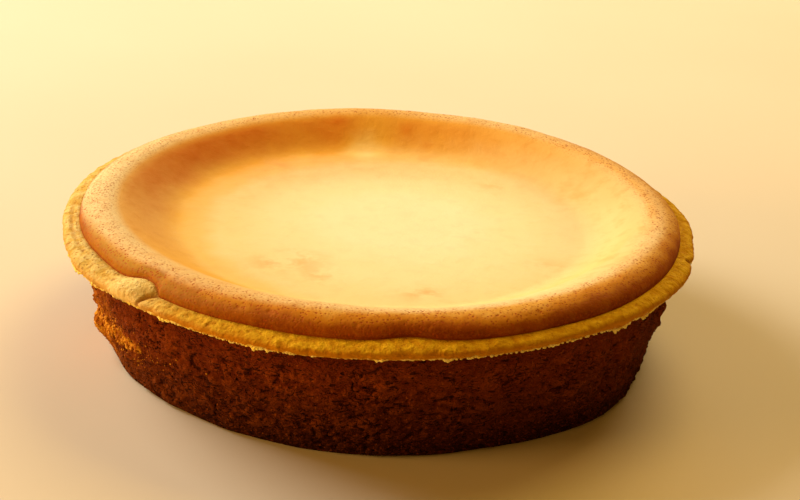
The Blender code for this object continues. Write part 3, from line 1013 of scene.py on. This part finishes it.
def crust_colour(look, up, relief_shading):
    """Browned crust, with painted shade low down and in the hollows, painted light on the lumps, and lighter
    crumbs.
    """
    # Painted shade: both tones darken towards the foot, where the wall stands on the floor
    tone = look.bands(up, ((0.0, (0.022, 0.0040, 0.0004)), (0.30, (0.060, 0.0090, 0.0006)),
                           (0.70, (0.104, 0.0130, 0.0008)), (1.0, (0.112, 0.0120, 0.0006))))
    lit_tone = look.bands(up, ((0.0, (0.062, 0.0150, 0.0012)), (0.35, (0.188, 0.0385, 0.0026)),
                             (0.75, (0.265, 0.0490, 0.0030)), (1.0, (0.175, 0.0240, 0.0014))))
    grain = look.noise(520.0, 3.0, 0.55)
    broad = look.noise(75.0, 3.0, 0.55)
    # Painted light on the lumps and painted shade in the creases, broken up by grain
    lit = look.times(look.ramp(relief_shading, 0.25, 1.00, 0.12, 1.0), look.ramp(grain, 0.30, 0.66, 0.60, 1.0))
    lit = look.times(lit, look.ramp(broad, 0.25, 0.65, 0.50, 1.0))
    return look.mix(lit, tone, lit_tone), grain


def leak_colour(look):
    """Custard that ran out and baked: orange ochre, mottled."""
    return look.mix(look.ramp(look.noise(330.0, 3.0), 0.40, 0.66), (0.36, 0.095, 0.002), (0.74, 0.320, 0.020))


def pastry_look():
    """The case: craggy brown wall, paler yellow lip."""
    look = Look("shortcrust_baked")
    up, rim, over = look.mark("up"), look.mark("rim"), look.mark("over")
    crack, relief_shading, leak = look.mark("crack"), look.mark("relief_shading"), look.mark("leak")
    crust, grain = crust_colour(look, up, relief_shading)

    crumbly = look.ramp(up, 1.0, 0.80, 0.30, 1.0)
    squashed = look.bent(0.0024, 260.0, look.scaled((1.0, 1.0, 1.7)))
    lumps = look.billow(280.0, 1.0, squashed)
    crumbs = look.billow(560.0, 1.0, squashed)
    dashes = look.noise(230.0, 1.0, 0.5, look.scaled((1.0, 1.0, 2.0)))
    patchy = look.ramp(look.noise(110.0, 2.0), 0.48, 0.64)
    creases = look.times(look.ramp(lumps, 0.0, 0.035, 0.8, 0.0), patchy)
    short = look.noise(430.0, 1.0, 0.5, look.scaled((1.0, 1.0, 1.6)))
    dash_shade = look.most(look.ramp(dashes, 0.66, 0.72), look.ramp(short, 0.67, 0.73))
    torn = look.times(look.most(creases, dash_shade), crumbly)
    # Painted shade in the cracks, creases and dashes of the crust
    deep = look.ramp(crack, 0.25, 0.80)
    crack_shade = look.most(deep, torn)
    # Painted light: the tops of the small lumps lighter than their creases
    crust = look.mix(look.times(look.ramp(crumbs, 0.05, 0.20), 0.35), crust, (0.240, 0.046, 0.002))
    bits = look.times(look.ramp(look.noise(760.0, 1.0), 0.66, 0.73), crumbly)
    crust = look.mix(look.times(bits, 0.55), crust, (0.330, 0.080, 0.004))
    crust = look.mix(look.times(crack_shade, 0.74), crust, (0.020, 0.0030, 0.0002))
    streaks = look.noise(240.0, 4.0, 0.6, look.bent(0.004, 90.0, look.scaled((1.0, 1.0, 0.22))))
    # Smear of custard, and painted light on the lit left side of the wall
    smear_and_lit_side = look.mark("smear_and_lit_side")
    streaked_smear_and_lit_side = look.times(look.ramp(smear_and_lit_side, 0.15, 0.95), look.ramp(streaks, 0.42, 0.62))
    crust = look.mix(look.times(look.sums("POWER", smear_and_lit_side, 1.5), 0.80), crust, (0.420, 0.120, 0.004))
    crust = look.mix(look.times(streaked_smear_and_lit_side, 0.70), crust, (0.560, 0.190, 0.008))
    crust = look.mix(leak, crust, leak_colour(look))

    fibres = look.noise(150.0, 4.0, 0.6, look.bearing(), 0.4)
    fibres = look.times(look.ramp(fibres, 0.48, 0.66, 0.0, 0.6), look.mark("fibrous"))
    mottle = look.noise(260.0, 4.0, 0.6)
    specks = look.ramp(look.noise(620.0, 3.0, 0.65), 0.53, 0.66)
    lip = look.mix(look.ramp(mottle, 0.36, 0.62), (0.54, 0.240, 0.002), (0.72, 0.400, 0.006))
    # Painted light: the lip brighter where it is lit
    sunlit = look.mix(look.ramp(mottle, 0.36, 0.62), (0.74, 0.370, 0.004), (0.90, 0.540, 0.014))
    lip = look.mix(look.mark("sunlit"), lip, sunlit)
    # Painted shade on the lower, outward-facing part of the lip
    lower_shade = look.ramp(look.plus(over, look.times(mottle, 0.30)), 0.62, 0.22)
    lip = look.mix(look.times(lower_shade, 0.80), lip, (0.54, 0.190, 0.001))
    # Creamy pastry, and a painted highlight on the knob of the lap
    creamy_and_highlight = look.mix(look.ramp(mottle, 0.36, 0.62), (0.66, 0.430, 0.090), (0.76, 0.585, 0.210))
    lip = look.mix(look.times(look.mark("creamy_and_highlight"), 0.95), lip, creamy_and_highlight)
    lip = look.mix(look.times(look.most(specks, fibres), 0.55), lip, (0.50, 0.170, 0.003))
    large = look.times(look.ramp(look.cells(330.0), 0.10, 0.24, 0.7, 0.0),
                       look.ramp(look.noise(130.0), 0.46, 0.60))
    pores = look.times(look.ramp(look.cells(600.0), 0.16, 0.34, 0.60, 0.0),
                       look.ramp(look.noise(90.0), 0.40, 0.56))
    holes = look.most(large, pores)
    holes = look.times(holes, look.ramp(look.mark("creamy_and_highlight"), 0.0, 0.6, 0.25, 0.80))
    # Brown pores, and painted shade in the folds and holes of the lip
    lip = look.mix(look.most(holes, look.mark("fold_shade")), lip, (0.34, 0.100, 0.004))
    # Pale teeth under the lip, and a painted highlight on the knob of the lap
    lip = look.mix(look.times(look.mark("tooth_and_highlight"), 0.7), lip, (0.90, 0.66, 0.24))
    colour = look.mix(rim, crust, lip)

    wall = look.ramp(rim, 0.0, 1.0, 1.0, 0.0)
    roughness = look.plus(look.times(look.ramp(grain, 0.3, 0.7, 0.95, 0.82), wall),
                          look.times(look.ramp(mottle, 0.3, 0.7, 0.88, 0.74), rim))
    normal = look.bump(look.mix(rim, lumps, look.times(mottle, 0.6)), 0.0018)
    normal = look.bump(look.times(crumbs, wall), 0.0012, normal)
    normal = look.bump(look.mix(rim, crack_shade, look.most(holes, look.times(fibres, 0.4))), -0.0005, normal)
    normal = look.bump(look.noise(1300.0, 3.0, 0.6), 0.00018, normal)
    return look.finish(colour, roughness, normal, 0.04)


def custard_look():
    """The filling: pale yellow sunken middle, browned crest with pinholes."""
    look = Look("custard_baked")
    path = look.mark("path")
    broad = look.noise(22.0, 3.0, 0.55)
    skin = look.noise(150.0, 4.0, 0.6)
    fine = look.noise(900.0, 3.0, 0.6)
    shifted = look.plus(path, look.times(look.sums("SUBTRACT", broad, 0.5), 0.11))
    blotches = look.times(look.sums("SUBTRACT", look.noise(85.0, 3.0, 0.6), 0.5), 0.06)
    shifted = look.plus(shifted, look.plus(look.mark("shift"), blotches))
    colour = look.bands(shifted, ((0.05, (0.980, 0.800, 0.450)), (0.30, (0.960, 0.750, 0.370)),
                                  (0.58, (0.940, 0.680, 0.280)), (0.70, (0.900, 0.560, 0.140)),
                                  (0.79, (0.850, 0.430, 0.035)), (0.86, (0.820, 0.390, 0.030)),
                                  (0.905, (0.760, 0.380, 0.050)), (0.935, (0.610, 0.225, 0.004)),
                                  (0.965, (0.380, 0.086, 0.0003)), (1.0, (0.240, 0.042, 0.0002))))
    # Paler skin on the crest, partly painted highlight
    colour = look.mix(look.mark("tan_and_sheen"), colour, (0.830, 0.635, 0.315))
    golden = look.mix(look.ramp(path, 0.940, 0.985), (0.470, 0.280, 0.010), (0.400, 0.165, 0.003))
    colour = look.mix(look.times(look.mark("golden"), 0.90), colour, golden)
    # Browning on the inner slope, and painted shade at the foot of the slope
    baked = look.times(look.mark("browning_and_shade"), look.ramp(skin, 0.25, 0.75, 0.75, 1.0))
    colour = look.mix(baked, colour, (0.660, 0.160, 0.0005))
    blot = look.times(look.mark("smudge"), look.ramp(look.noise(95.0, 3.0, 0.6), 0.40, 0.66))
    colour = look.mix(look.times(blot, 0.75), colour, (0.800, 0.400, 0.090))
    mottle = look.times(look.ramp(skin, 0.45, 0.72), look.ramp(path, 0.60, 0.90, 0.06, 0.26))
    colour = look.mix(mottle, colour, (0.640, 0.240, 0.010))

    outer = look.ramp(path, 0.83, 0.90)
    drift = look.noise(120.0, 2.0, 0.6)
    small = look.times(look.ramp(look.cells(820.0), 0.22, 0.42, 1.0, 0.0),
                       look.ramp(drift, 0.34, 0.56, 0.55, 1.0))
    large = look.times(look.ramp(look.cells(330.0), 0.08, 0.16, 1.0, 0.0), look.ramp(drift, 0.40, 0.52))
    holes = look.times(look.most(small, large), outer)
    # The pit mark also carries the painted shade of the gap between the filling's side and the lip
    holes = look.most(holes, look.mark("pit"))
    grit = look.times(look.ramp(fine, 0.46, 0.66), look.times(outer, 0.30))
    colour = look.mix(grit, colour, (0.560, 0.170, 0.003))
    faint = look.ramp(look.noise(420.0, 1.0), 0.35, 0.60, 0.32, 0.95)
    colour = look.mix(look.times(holes, faint), colour, (0.400, 0.075, 0.0004))

    roughness = look.ramp(path, 0.58, 0.80, 0.40, 0.70)
    normal = look.bump(skin, 0.00035)
    normal = look.bump(holes, -0.00009, normal)
    normal = look.bump(fine, 0.00012, normal)
    return look.finish(colour, roughness, normal, 0.07)


def burr_look():
    """The torn pale edge."""
    look = Look("burr_baked")
    tone = look.noise(420.0, 3.0, 0.6)
    pale = look.mix(look.ramp(tone, 0.35, 0.65), (0.94, 0.67, 0.09), (0.98, 0.80, 0.24))
    colour = look.mix(look.mark("pale"), (0.62, 0.270, 0.008), pale)
    normal = look.bump(look.noise(1400.0, 3.0), 0.0003)
    return look.finish(colour, look.ramp(tone, 0.3, 0.7, 0.85, 0.7), normal, 0.08)


def crumb_look():
    """Crumbs on the wall, and bits of the leaked custard."""
    look = Look("crumbs_baked")
    crust, grain = crust_colour(look, look.mark("up"), look.mark("relief_shading"))
    colour = look.mix(look.mark("leak"), crust, leak_colour(look))
    normal = look.bump(look.noise(1300.0, 3.0), 0.0003)
    return look.finish(colour, look.ramp(grain, 0.3, 0.7, 0.90, 0.75), normal, 0.06)


# ------------------------------------------------------------ floor, light, view

def make_floor():
    """A plain pale floor."""
    data = bpy.data.meshes.new("floor")
    data.from_pydata([(-4, -4, 0), (4, -4, 0), (4, 4, 0), (-4, 4, 0)], [], [(0, 1, 2, 3)])
    look = Look("floor_plain")
    tone = look.noise(3.0, 2.0)
    colour = look.mix(look.ramp(tone, 0.3, 0.7), (0.75, 0.63, 0.45), (0.78, 0.66, 0.48))
    data.materials.append(look.finish(colour, 0.7, look.bump(tone, 0.0001), 0.3))
    floor = bpy.data.objects.new("floor", data)
    bpy.context.scene.collection.objects.link(floor)


def area_light(name, place, aim, size, watts, colour):
    """A soft square light that faces a point on the cake's axis."""
    data = bpy.data.lights.new(name, "AREA")
    data.shape = "SQUARE"
    data.size = size
    data.energy = watts
    data.color = colour
    lamp = bpy.data.objects.new(name, data)
    lamp.location = place
    lamp.rotation_euler = (Vector((0.0, 0.0, aim)) - Vector(place)).to_track_quat("-Z", "Y").to_euler()
    bpy.context.scene.collection.objects.link(lamp)


def make_light():
    """Soft studio light, mostly from behind on the left."""
    for light in LIGHTS:
        area_light(*light)
    world = bpy.data.worlds.new("studio")
    world.use_nodes = True
    world.node_tree.nodes["Background"].inputs["Color"].default_value = ROOM_COLOUR
    world.node_tree.nodes["Background"].inputs["Strength"].default_value = ROOM_STRENGTH
    bpy.context.scene.world = world
    bpy.context.scene.view_settings.view_transform = "Standard"


def make_camera():
    """The camera, a little above the cake and rolled slightly."""
    data = bpy.data.cameras.new("view")
    data.lens = CAMERA_LENS
    data.sensor_width = 36.0
    ahead = (CAMERA_TARGET - CAMERA_PLACE).normalized()
    level = ahead.cross(Vector((0.0, 0.0, 1.0))).normalized()
    above = level.cross(ahead)
    right = math.cos(CAMERA_ROLL) * level + math.sin(CAMERA_ROLL) * above
    up = math.cos(CAMERA_ROLL) * above - math.sin(CAMERA_ROLL) * level
    turned = Matrix((right, up, -ahead)).transposed().to_4x4()
    camera = bpy.data.objects.new("view", data)
    camera.matrix_world = Matrix.Translation(CAMERA_PLACE) @ turned
    bpy.context.scene.collection.objects.link(camera)
    bpy.context.scene.camera = camera


make_camera()
make_light()
make_floor()

pastry = pastry_look()
case = make_case(pastry)
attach(case, "root")
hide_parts("pastry_case")

wall = make_wall(pastry)
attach(wall, "root")

filling = make_filling(custard_look())
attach(filling, "root")
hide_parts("filling")

burr = make_burr(burr_look())
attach(burr, "root")

crumbs = make_crumbs(crumb_look())
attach(crumbs, "root")
